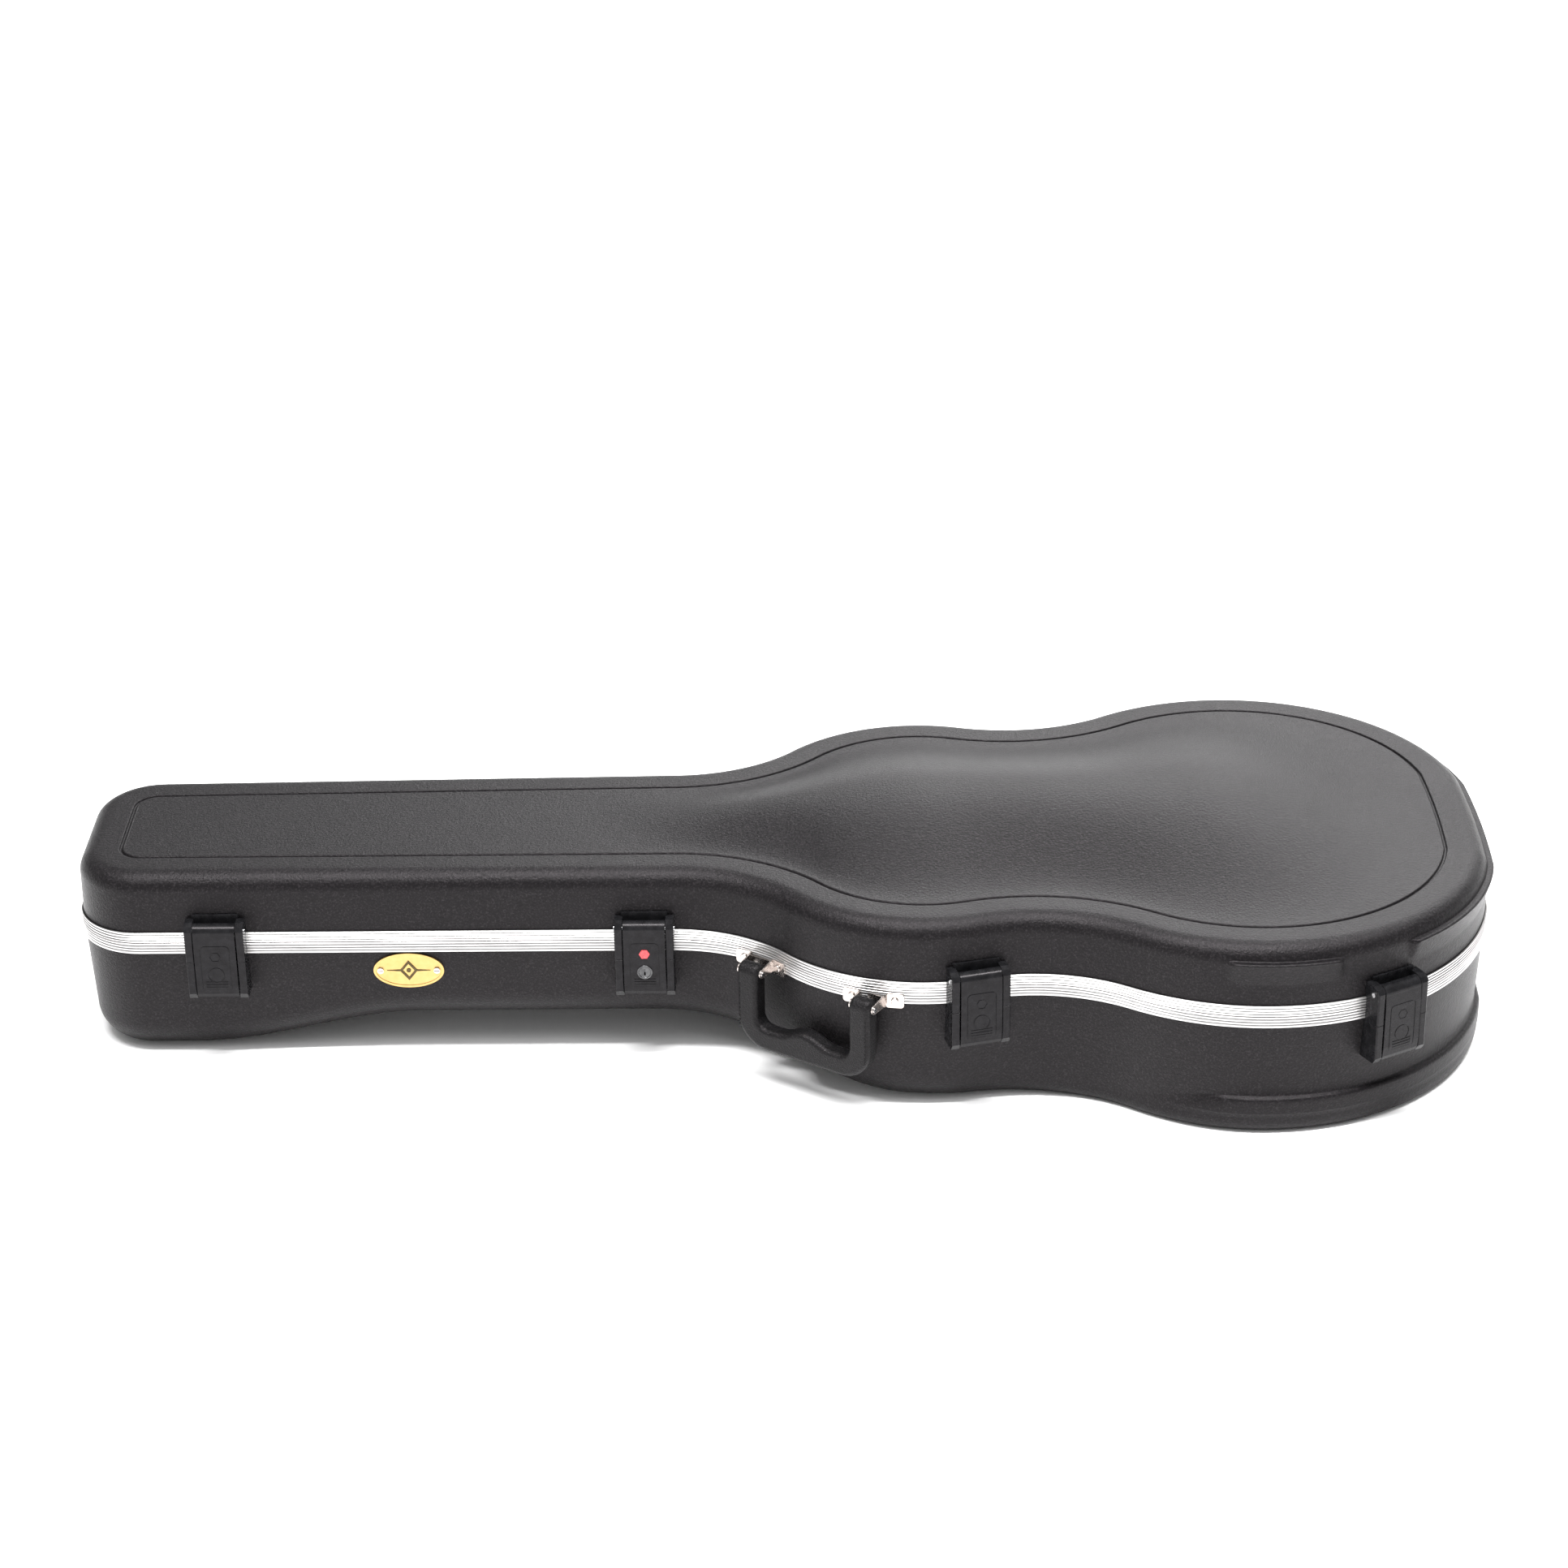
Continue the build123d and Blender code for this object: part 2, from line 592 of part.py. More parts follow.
with BuildPart() as handle_grip:
    with BuildSketch(spot(handle_frame, out=pin_out - HANDLE_THICK / 2)) as outline:
        with Locations((0, (pin_up + grip_low) / 2)):
            Rectangle(2 * arm_out, HANDLE_DROP)
        fillet(outline.vertices().group_by(Axis.Y)[0], 26)
        with BuildLine():
            Line((-arm_in, 20), (-arm_in, grip_low + 27))
            ThreePointArc((-arm_in, grip_low + 27), (2.5 - arm_in, grip_low + 20.7),
                          (8.5 - arm_in, grip_low + 18))
            Spline((8.5 - arm_in, grip_low + 18), (-20, grip_low + 18.5), (0, grip_low + 25),
                   (20, grip_low + 18.5), (arm_in - 8.5, grip_low + 18),
                   tangents=((1, 0), (1, 0)))
            ThreePointArc((arm_in - 8.5, grip_low + 18), (arm_in - 2.5, grip_low + 20.7),
                          (arm_in, grip_low + 27))
            Line((arm_in, grip_low + 27), (arm_in, 20))
            Line((arm_in, 20), (-arm_in, 20))
        make_face(mode=Mode.SUBTRACT)
    extrude(outline.sketch, amount=HANDLE_THICK)
    for start in (-arm_out, arm_in):
        bar(handle_frame, pin_out, pin_up, HANDLE_THICK / 2, start, start + arm_out - arm_in)
    rounded = handle_grip.edges().filter_by(
        lambda edge: PARTING_Z + pin_up - 0.5 > edge.center().Z
    ).filter_by(
        lambda edge: abs(abs(handle_frame.to_local_coords(edge.center()).Z - pin_out)
                         - HANDLE_THICK / 2) < 0.05
    )
    fillet(rounded, 4.0)
    bar(handle_frame, pin_out, pin_up, 2.1, -80, 80, Mode.SUBTRACT)
save(handle_grip, "handle_grip")

for name, side, feet in (("left", -1, BRACKET_FEET_X[:2]), ("right", 1, BRACKET_FEET_X[2:])):
    middle = side * (arm_in + arm_out) / 2
    ears = (middle - 10.6, middle + 9.4)
    with BuildPart() as bracket:
        for foot in feet:
            slab(spot(wall_frame(foot), up=-6.4, out=1.7), 14, 12, 1.2, 2.5)
        slab(spot(handle_frame, along=middle, up=-6.4, out=2.4), 24, 8, 1.2)
        for ear in ears:
            prism(handle_frame, ((2.4, -1.4), (2.4, -11.4), (15, -11.2), (17, -5), (13, -3.5)),
                  ear, ear + 1.2)
            bar(handle_frame, pin_out, pin_up, 3.7, ear, ear + 1.2)
        add(HUG, mode=Mode.SUBTRACT)
        bar(handle_frame, pin_out, pin_up, 2.0, middle - 15, middle + 15, Mode.SUBTRACT)
    save(bracket, f"handle_bracket_{name}")

    with BuildPart() as handle_pin:
        bar(handle_frame, pin_out, pin_up, 2.0, ears[0] - 0.8, ears[1] + 2.0)
    save(handle_pin, f"handle_pin_{name}")

with BuildPart() as handle_rivets:
    for foot in BRACKET_FEET_X:
        plane = spot(wall_frame(foot), up=-6.4, out=2.9)
        disc(plane, 2.9, 1.5)
    fillet(handle_rivets.edges().filter_by(GeomType.CIRCLE).filter_by(
        lambda edge: abs(edge.radius - 2.9) < 0.01).sort_by(Axis.Z), 0.7)
save(handle_rivets, "handle_rivets")

# --- hinges ---

turn = math.radians(HINGE_ANGLE)
hinge_along = Vector(math.cos(turn), math.sin(turn), 0)
hinge_out = Vector(-math.sin(turn), math.cos(turn), 0)


def hinge_frame(x):
    """Frame on the hinge axis: Y up, Z outwards from the back wall."""
    travel = (x - hinge_out.X * HINGE_DISTANCE) / hinge_along.X
    origin = hinge_out * HINGE_DISTANCE + hinge_along * travel + Vector(0, 0, PARTING_Z)
    return Plane(origin, x_dir=-hinge_along, z_dir=hinge_out)


for number, (place, half) in enumerate(zip(HINGE_AT, HINGE_HALF), start=1):
    frame = hinge_frame(place)
    middle = half * 0.45
    outer_knuckles = ((-half, -middle - 0.2), (middle + 0.2, half))
    inner_knuckle = ((0.2 - middle, middle - 0.2),)
    for name, side, knuckles, bore in (
        ("base", -1, outer_knuckles, HINGE_PIN_R + 0.1),
        ("lid", 1, inner_knuckle, HINGE_PIN_R),
    ):
        with BuildPart() as leaf:
            prism(frame, ((-10, side * 23), (-3.4, side * 23), (-3.4, side * 4.3),
                          (-10, side * 4.3)), -half, half)
            for start, end in knuckles:
                bar(frame, 0, 0, KNUCKLE_R, start, end)
                prism(frame, ((-4.9, side * 8), (-4.9, side * 0.5), (-0.5, side * 0.5),
                              (-0.5, side * 3.4), (-3.4, side * 8)), start, end)
            add(HUG, mode=Mode.SUBTRACT)
            bar(frame, 0, 0, bore, -half - 1, half + 1, Mode.SUBTRACT)
        save(leaf, f"hinge_{name}_leaf_{number}")
    with BuildPart() as hinge_pin:
        bar(frame, 0, 0, HINGE_PIN_R, -half - 0.6, half + 0.6)
    save(hinge_pin, f"hinge_pin_{number}")

for name, side in (("base", -1), ("lid", 1)):
    with BuildPart() as hinge_rivets:
        for place, half in zip(HINGE_AT, HINGE_HALF):
            for shift in (-half + 6, half - 6):
                disc(spot(hinge_frame(place), along=shift, up=side * 16, out=-3.4), 2.7, 1.3)
    save(hinge_rivets, f"hinge_{name}_rivets")

# --- nameplate ---

plate_frame = wall_frame(NAMEPLATE_X, NAMEPLATE_UP, BASE_DRAFT)
plate_long, plate_tall = NAMEPLATE_SIZE

with BuildPart() as nameplate:
    with BuildSketch(spot(plate_frame, out=0.2)) as oval:
        Ellipse(plate_long / 2, plate_tall / 2)
    extrude(oval.sketch, amount=1.7)
    with BuildSketch(spot(plate_frame, out=1.4)) as field:
        Ellipse(plate_long / 2 - 1.8, plate_tall / 2 - 1.8)
    extrude(field.sketch, amount=2, mode=Mode.SUBTRACT)
save(nameplate, "nameplate")

with BuildPart() as nameplate_ornament:
    with BuildSketch(spot(plate_frame, out=1.4)) as motif:
        with BuildLine():
            Polyline((-17, 0), (0, 1.1), (17, 0), (0, -1.1), close=True)
        make_face()
        with BuildLine():
            Polyline((-7, 0), (0, 9), (7, 0), (0, -9), close=True)
        make_face()
        with BuildLine():
            Polyline((-4.6, 0), (0, 6), (4.6, 0), (0, -6), close=True)
        make_face(mode=Mode.SUBTRACT)
        Circle(1.8)
    extrude(motif.sketch, amount=0.5)
save(nameplate_ornament, "nameplate_ornament")

with BuildPart() as nameplate_screws:
    for shift in (-22.0, 22.0):
        disc(spot(plate_frame, along=shift, out=1.4), 2.5, 1.4)
        slab(spot(plate_frame, along=shift, out=2.3), 4.2, 0.8, 2, mode=Mode.SUBTRACT)
save(nameplate_screws, "nameplate_screws")
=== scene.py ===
import math

import bmesh
import bpy
import numpy as np
from mathutils import Matrix, Vector


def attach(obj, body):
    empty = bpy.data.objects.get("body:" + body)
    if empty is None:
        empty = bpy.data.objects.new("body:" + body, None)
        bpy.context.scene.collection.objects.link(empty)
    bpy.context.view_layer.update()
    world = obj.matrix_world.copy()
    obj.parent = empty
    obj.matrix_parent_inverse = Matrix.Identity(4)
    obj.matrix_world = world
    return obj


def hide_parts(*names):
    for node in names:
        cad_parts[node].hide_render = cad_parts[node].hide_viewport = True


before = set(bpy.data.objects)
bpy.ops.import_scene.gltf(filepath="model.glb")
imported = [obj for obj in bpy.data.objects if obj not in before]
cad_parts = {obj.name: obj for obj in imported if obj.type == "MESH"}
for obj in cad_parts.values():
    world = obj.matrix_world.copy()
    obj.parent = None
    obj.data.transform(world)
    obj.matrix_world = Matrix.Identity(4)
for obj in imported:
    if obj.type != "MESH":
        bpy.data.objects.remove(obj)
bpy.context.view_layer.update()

MM = 0.001

# ---------------------------------------------------------------- outline
# The same chain of tangent arcs as the shell, in millimetres.
HEAD_X, HEAD_HALF, NECK_X, NECK_HALF, HEAD_R = -550.0, 86.4, -150.5, 90.6, 51.9
UPPER, UPPER_R, SHOULDER_R = np.array([109.9, 39.3]), 140.4, 120.0
LOWER, LOWER_R, WAIST_R = np.array([365.2, 36.2]), 185.5, 134.9
CORNER_R, CORNER_ANGLE, TAIL_R = 53.6, 0.20, 1098.8

PARTING_Z, LID_TOP_Z = 102.0, 159.4
BASE_TOP_Z, LID_LOW_Z = 99.8, 104.2
CAP = 61
SIDE_STEP = 2.6
WALL = 4.0


def unit(v):
    return v / np.hypot(*v)


def arc_rays(centre, first, last, sign):
    """Points on an arc and their outward directions, without the last point."""
    start = math.atan2(*(first - centre)[::-1])
    sweep = math.atan2(*(last - centre)[::-1]) - start
    sweep = (sweep + math.pi) % (2 * math.pi) - math.pi
    radius = np.hypot(*(first - centre))
    count = max(8, int(radius * abs(sweep) / SIDE_STEP))
    angle = start + sweep * np.arange(count) / count
    ray = np.stack([np.cos(angle), np.sin(angle)], 1)
    return centre + radius * ray, sign * ray


def outline_rays():
    """Points and outward directions round the outline: head line, +Y side, tail arc, -Y side."""
    along = unit(np.array([NECK_X - HEAD_X, NECK_HALF - HEAD_HALF]))
    out = np.array([-along[1], along[0]])
    origin = np.array([HEAD_X, HEAD_HALF])
    head = np.array([HEAD_X + HEAD_R, HEAD_HALF + HEAD_R * along[1] / along[0] - HEAD_R / out[1]])
    lead = origin + out * SHOULDER_R - UPPER
    dot = lead @ along
    reach = lead @ lead - (UPPER_R + SHOULDER_R) ** 2
    shoulder = origin + out * SHOULDER_R + along * (-dot - math.sqrt(dot * dot - reach))
    span = LOWER - UPPER
    size = np.hypot(*span)
    near, far = UPPER_R + WAIST_R, LOWER_R + WAIST_R
    part = (near ** 2 - far ** 2 + size ** 2) / (2 * size)
    side = unit(span)
    waist = UPPER + side * part + np.array([-side[1], side[0]]) * math.sqrt(near ** 2 - part ** 2)
    tilt = np.array([math.cos(CORNER_ANGLE), math.sin(CORNER_ANGLE)])
    corner = LOWER + tilt * (LOWER_R - CORNER_R)
    tail = np.array([corner[0] - math.sqrt((TAIL_R - CORNER_R) ** 2 - corner[1] ** 2), 0.0])

    head_0 = head + np.array([-HEAD_R, 0])
    head_1 = head + out * HEAD_R
    turn_0 = shoulder - out * SHOULDER_R
    turn_1 = shoulder + unit(UPPER - shoulder) * SHOULDER_R
    turn_2 = waist + unit(UPPER - waist) * WAIST_R
    turn_3 = waist + unit(LOWER - waist) * WAIST_R
    turn_4 = LOWER + tilt * LOWER_R
    turn_5 = corner + unit(corner - tail) * CORNER_R

    points, rays = [], []
    head_line = np.linspace(-head_0[1], head_0[1], CAP)
    points.append(np.stack([np.full(CAP, HEAD_X), head_line], 1))
    rays.append(np.tile([-1.0, 0.0], (CAP, 1)))
    side_points, side_rays = [], []
    for centre, first, last, sign in (
        (head, head_0, head_1, 1), (None, head_1, turn_0, 1), (shoulder, turn_0, turn_1, -1),
        (UPPER, turn_1, turn_2, 1), (waist, turn_2, turn_3, -1), (LOWER, turn_3, turn_4, 1),
        (corner, turn_4, turn_5, 1),
    ):
        if centre is None:
            count = int(np.hypot(*(last - first)) / SIDE_STEP)
            share = np.arange(count)[:, None] / count
            side_points.append(first + (last - first) * share)
            side_rays.append(np.tile(out, (count, 1)))
        else:
            p, r = arc_rays(centre, first, last, sign)
            side_points.append(p)
            side_rays.append(r)
    side_points = np.concatenate(side_points)[1:]
    side_rays = np.concatenate(side_rays)[1:]
    half = math.atan2(turn_5[1], turn_5[0] - tail[0])
    angle = np.linspace(half, -half, CAP)
    tail_rays = np.stack([np.cos(angle), np.sin(angle)], 1)
    flip = np.array([1.0, -1.0])
    points += [side_points, tail + TAIL_R * tail_rays, side_points[::-1] * flip]
    rays += [side_rays, tail_rays, side_rays[::-1] * flip]
    return np.concatenate(points), np.concatenate(rays), len(side_points)


POINTS, RAYS, SIDE = outline_rays()
COUNT = len(POINTS)


def ease(value, start, end):
    part = np.clip((value - start) / (end - start), 0, 1)
    return part * part * (3 - 2 * part)


def arch(x):
    """Height of the base's underside above the floor."""
    return 27.0 * ease(x, -462, -285) * (1 - ease(x, -105, 95))


def ring(inset, z):
    """The outline moved inwards by the inset, at a height; both may vary round it."""
    inset = np.broadcast_to(np.asarray(inset, float), (COUNT,))
    flat = POINTS - RAYS * inset[:, None]
    return np.column_stack([flat, np.broadcast_to(np.asarray(z, float), (COUNT,))])


# ---------------------------------------------------------------- mesh helpers
def add_mesh(name, verts, faces, smooth=True, scale=MM):
    mesh = bpy.data.meshes.new(name)
    mesh.from_pydata((np.asarray(verts, float) * scale).tolist(), [], faces)
    mesh.validate()
    mesh.update()
    if smooth:
        mesh.polygons.foreach_set("use_smooth", [True] * len(mesh.polygons))
    obj = bpy.data.objects.new(name, mesh)
    bpy.context.scene.collection.objects.link(obj)
    return obj


def clean(obj, merge=1e-5):
    """Welds doubles and turns every face outwards."""
    work = bmesh.new()
    work.from_mesh(obj.data)
    bmesh.ops.remove_doubles(work, verts=work.verts, dist=merge)
    bmesh.ops.recalc_face_normals(work, faces=work.faces)
    work.to_mesh(obj.data)
    work.free()
    obj.data.update()
    return obj


def cap_grid(edge, height, start, flip):
    """Vertices and faces that fill a ring, in columns from the +Y side to the -Y side."""
    verts, columns = [], [list(range(CAP - 1, -1, -1))]
    tail_at = CAP + SIDE
    share = np.arange(1, CAP - 1) / (CAP - 1)
    for index in range(SIDE):
        top, low = CAP + index, COUNT - 1 - index
        inner = edge[top][None, :2] * (1 - share[:, None]) + edge[low][None, :2] * share[:, None]
        z = height(inner[:, 0], inner[:, 1], np.abs(inner[:, 1]) / max(abs(edge[top][1]), 1e-6))
        first = start + len(verts)
        verts += np.column_stack([inner, z]).tolist()
        columns.append([top, *range(first, first + CAP - 2), low])
    columns.append(list(range(tail_at, tail_at + CAP)))
    return verts, columns


def shell(name, rings, caps):
    """A closed skin through rings; caps maps 0 or -1 to a height function for that end."""
    verts = np.concatenate(rings).tolist()
    faces = []
    for row in range(len(rings) - 1):
        a, b = row * COUNT, (row + 1) * COUNT
        for i in range(COUNT):
            j = (i + 1) % COUNT
            faces.append((a + i, a + j, b + j, b + i))
    for end, height in caps.items():
        row = len(rings) - 1 if end == -1 else 0
        extra, columns = cap_grid(rings[end], height, len(verts), end == 0)
        shift = row * COUNT
        columns = [[c + shift if c < COUNT else c for c in column] for column in columns]
        verts += extra
        for left, right in zip(columns, columns[1:]):
            for k in range(CAP - 1):
                quad = (left[k], left[k + 1], right[k + 1], right[k])
                if len(set(quad)) > 2:
                    faces.append(tuple(dict.fromkeys(quad)))
    return clean(add_mesh(name, verts, faces))


def band(name, profile):
    """A closed cross-section of (inset, z) swept round the outline."""
    rings = [ring(inset, z) for inset, z in profile]
    verts = np.concatenate(rings).tolist()
    faces = []
    for row in range(len(rings)):
        a, b = row * COUNT, ((row + 1) % len(rings)) * COUNT
        for i in range(COUNT):
            j = (i + 1) % COUNT
            faces.append((a + i, a + j, b + j, b + i))
    return clean(add_mesh(name, verts, faces))


# ---------------------------------------------------------------- lid and base shells
X_AT = POINTS[:, 0]
LID_LEAN, BASE_LEAN = math.tan(math.radians(1.0)), math.tan(math.radians(3.0))


def dome(x, y, side):
    swell = ease(x, -150.0, 120.0) * (1 - ease(x, 330.0, 505.0))
    return LID_TOP_Z + 27.0 * swell * np.clip(1 - side ** 2, 0, 1) ** 2


def corner(depth, radius):
    """How far a rounded corner has cut back the end of a bumper at this depth into it."""
    depth = min(max(depth, 0.0), radius)
    return radius - math.sqrt(radius ** 2 - (radius - depth) ** 2)


def lid_bumpers(z):
    """1 on the lid's raised bumpers and 0 beside them, with rounded corners low and high."""
    trim = corner(z - PAD_LOW, 7.0) + corner(PAD_HIGH + 1.5 - z, 5.0)
    side = ease(X_AT, 330 + trim, 334 + trim) * (1 - ease(X_AT, 414 - trim, 418 - trim))
    return np.maximum(side, ease(X_AT, 469 + trim, 473 + trim))


EDGE_R = 15.0
EDGE_Z = LID_TOP_Z - EDGE_R
EDGE_C = (EDGE_Z - LID_LOW_Z) * LID_LEAN + EDGE_R
PAD_LOW, PAD_HIGH, PAD_PROUD, PAD_R = 128.5, 147.5, 5.2, 1.8


def lid_wall(z):
    """Inset of the lid's wall and of the first of its rounded edge."""
    if z <= EDGE_Z:
        return (z - LID_LOW_Z) * LID_LEAN
    return EDGE_C - math.sqrt(EDGE_R ** 2 - (z - EDGE_Z) ** 2)


def mixed(mask, plain, raised):
    """A ring that follows one (inset, z) off the mask and another on it."""
    return ring(plain[0] * (1 - mask) + raised[0] * mask, plain[1] * (1 - mask) + raised[1] * mask)


LID_WALL_Z = (104.2, 104.9, 107, 111, 115, 119, 123, 126.5)
PAD_FACE_Z = (128.45, 128.6, 129.2, 130, 131, 132, 133.5, 135, 137, 139, 141, 143, 144.5, 145.7)
# The groove round the top, as pairs of inset and depth.
GROOVE = ((20, 0), (26, 0), (31, 0), (32.0, 0.0), (32.3, 0.15), (32.5, 0.6), (32.7, 1.4),
          (33.1, 1.8), (33.8, 1.85), (34.4, 1.6), (34.7, 0.8), (35.0, 0.2), (35.4, -0.05),
          (36.4, -0.05))
LID_CEILING_Z, CEILING_R, CEILING_C = 155.4, 11.0, 15.7


def lid_outer_rings():
    """Rings up the lid's wall, over its bumpers and rounded edge, and through its groove."""
    rings = [ring(lid_wall(z), z) for z in LID_WALL_Z]
    slope = (PAD_PROUD + lid_wall(PAD_LOW) - lid_wall(PAD_HIGH)) / (PAD_HIGH - PAD_LOW)
    for z in PAD_FACE_Z:
        out = lid_wall(PAD_LOW) - slope * (z - PAD_LOW)
        rings.append(mixed(lid_bumpers(z), (lid_wall(z), z), (min(out, lid_wall(z)), z)))
    brow = lid_wall(PAD_HIGH) - PAD_PROUD
    for index, step in enumerate((15, 40, 65, 90)):
        angle = math.radians(step)
        plain_z = 146.0 + 0.3 * index
        rounded = (brow + PAD_R * (1 - math.cos(angle)), PAD_HIGH - PAD_R * (1 - math.sin(angle)))
        rings.append(mixed(lid_bumpers(PAD_HIGH), (lid_wall(plain_z), plain_z), rounded))
    for plain_z, share in ((147.1, 0.35), (147.3, 0.7)):
        ledge = brow + PAD_R + share * (PAD_PROUD - PAD_R)
        rings.append(mixed(lid_bumpers(PAD_HIGH), (lid_wall(plain_z), plain_z), (ledge, PAD_HIGH)))
    rings.append(ring(lid_wall(147.6), 147.6))
    for step in range(16, 91, 5):
        angle = math.radians(step)
        rings.append(ring(EDGE_C - EDGE_R * math.cos(angle), EDGE_Z + EDGE_R * math.sin(angle)))
    return rings + [ring(inset, LID_TOP_Z - drop) for inset, drop in GROOVE]


def lid_inner_rings():
    """Rings up the inside of the lid, as far as its ceiling."""
    rings = [ring(4.0, LID_LOW_Z), ring(4.2, 112), ring(4.7, 140)]
    for step in range(15, 91, 15):
        angle = math.radians(step)
        rings.append(ring(CEILING_C - CEILING_R * math.cos(angle),
                          LID_CEILING_Z - CEILING_R + CEILING_R * math.sin(angle)))
    return rings


lid_skin = shell(
    "lid_skin",
    lid_inner_rings()[::-1] + lid_outer_rings(),
    {-1: dome, 0: lambda x, y, side: np.full(len(x), LID_CEILING_Z)},
)
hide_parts("lid_shell")
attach(lid_skin, "lid")

lift = arch(X_AT)
# The bottom edge tightens under the lower bout, where the tail bumper begins.
FLOOR_R = 28.0 - 18.0 * ease(X_AT, 90.0, 235.0)
BUMP_TOP, BUMP_R, BUMP_PROUD, BUMP_FOOT_R = 31.0, 3.4, 4.6, 9


def tail_bumper(z):
    """1 on the tail bumper; its foot swells out of the wall well before its ledge starts."""
    low = 1 - min(max(z / BUMP_TOP, 0.0), 1.0)
    return ease(X_AT, 328.0 - 120.0 * low ** 0.7, 350.0)


def bumper_profile():
    """The tail bumper's section from above its ledge to the underside, as (inset, height)."""
    out = (BASE_TOP_Z - BUMP_TOP) * BASE_LEAN - BUMP_PROUD
    profile = [((BASE_TOP_Z - 34.0) * BASE_LEAN, 34.0),
               ((BASE_TOP_Z - 32.6) * BASE_LEAN - 0.3, 32.6),
               (out + BUMP_R, BUMP_TOP)]
    for step in (20, 40, 60, 80):
        angle = math.radians(step)
        profile.append((out + BUMP_R * (1 - math.sin(angle)),
                        BUMP_TOP - BUMP_R * (1 - math.cos(angle))))
    profile += [(out, z) for z in (25.0, 21.0, 18.4, 17.4)]
    profile += [(out + 0.7, z) for z in (16.6, 13.0, 9.6)]
    for step in (20, 40, 60, 75, 90):
        angle = math.radians(step)
        profile.append((out + 9.7 - BUMP_FOOT_R * math.cos(angle),
                        BUMP_FOOT_R - BUMP_FOOT_R * math.sin(angle)))
    return profile + [(14.0, 0.0), (22.0, 0.0), (30.0, 0.0)]


edge_centre = (BASE_TOP_Z - lift - FLOOR_R) * BASE_LEAN + FLOOR_R


def plain_wall(height):
    """Inset of the wall and its rounded foot at a height above the underside."""
    low = np.maximum(FLOOR_R - height, 0.0)
    foot = edge_centre - np.sqrt(FLOOR_R ** 2 - low ** 2)
    return np.where(low > 0, foot, (BASE_TOP_Z - lift - height) * BASE_LEAN)


def base_outer_rings():
    """Rings down the base's wall and round its foot, with the bumper round the tail."""
    section = bumper_profile()
    rings = [ring(0.0, BASE_TOP_Z)]
    for share in (0.02, 0.1, 0.25, 0.4, 0.55, 0.7, 0.85, 0.95):
        z = BASE_TOP_Z + (lift + section[0][1] - BASE_TOP_Z) * share
        rings.append(ring((BASE_TOP_Z - z) * BASE_LEAN, z))
    for index, raised in enumerate(section):
        plain = plain_wall(raised[1]) + 0.4 * max(0, index - len(section) + 4)
        rings.append(mixed(tail_bumper(raised[1]), (plain, lift + raised[1]), raised))
    return rings


def base_inner_rings():
    """Rings down the inside of the base, as far as its floor."""
    rings = [ring(4.0, BASE_TOP_Z), ring(4.4, 92)]
    for step in range(0, 91, 15):
        angle = math.radians(step)
        rings.append(ring(32.0 - 24 * math.cos(angle), lift + 28 - 24 * math.sin(angle)))
    return rings


base_skin = shell(
    "base_skin",
    base_inner_rings()[::-1] + base_outer_rings(),
    {-1: lambda x, y, side: arch(x), 0: lambda x, y, side: arch(x) + WALL},
)
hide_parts("base_shell")
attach(base_skin, "base")

# ---------------------------------------------------------------- aluminium band
RIB_PITCH, RIB_DEPTH = 2.4, 0.55
BAND_START, BAND_END = 0.3, 9.3
RIB_Z = tuple(RIB_PITCH * count - BAND_START for count in (1, 2, 3))


def band_profile(side):
    """The ribbed face of one rail and its flange behind, above or below the parting plane."""
    points = []
    for step in range(64):
        up = BAND_START + 9.0 * step / 63
        notch = sum(max(0.0, math.cos(min(abs(up - rib) / RIB_DEPTH, 1) * math.pi / 2))
                    for rib in RIB_Z)
        crown = 0.18 * math.sin(math.pi * ((up - BAND_START) % RIB_PITCH) / RIB_PITCH)
        ends = sum(0.5 * max(0.0, 1 - gap / 0.4) for gap in (up - BAND_START, BAND_END - up))
        points.append((-1.22 - crown + RIB_DEPTH * notch + ends, PARTING_Z + side * up))
    flange = ((0.0, BAND_END), (0.0, 2.2), (6.8, 2.2), (7.0, 2.0), (7.0, 0.5), (6.7, BAND_START))
    return points + [(inset, PARTING_Z + side * up) for inset, up in flange]


band_pieces = []
for name, node, body, side in (("band_low", "base_rim", "base", -1),
                               ("band_high", "lid_rim", "lid", 1)):
    piece = band(name, band_profile(side))
    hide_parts(node)
    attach(piece, body)
    band_pieces.append(piece)

# ---------------------------------------------------------------- linings
LINING_INSET, LINING_TOP_Z, LID_LINING_Z, LID_CAVITY_Z = 18.0, 98.0, 105.2, 146.0


def soft_copy(node, name, voxel, rounds):
    """A plain CAD soft solid made again as one fine, round-edged skin."""
    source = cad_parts[node]
    obj = bpy.data.objects.new(name, source.data.copy())
    obj.data.transform(source.matrix_world)
    bpy.context.scene.collection.objects.link(obj)
    remesh = obj.modifiers.new("remesh", "REMESH")
    remesh.mode = "VOXEL"
    remesh.voxel_size = voxel * MM
    smooth = obj.modifiers.new("smooth", "SMOOTH")
    smooth.factor = 0.5
    smooth.iterations = rounds
    bake(obj)
    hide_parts(node)
    return obj


def bake(obj):
    """Applies an object's modifiers to its mesh."""
    ready = obj.evaluated_get(bpy.context.evaluated_depsgraph_get())
    mesh = bpy.data.meshes.new_from_object(ready)
    obj.modifiers.clear()
    obj.data = mesh
    mesh.polygons.foreach_set("use_smooth", [True] * len(mesh.polygons))


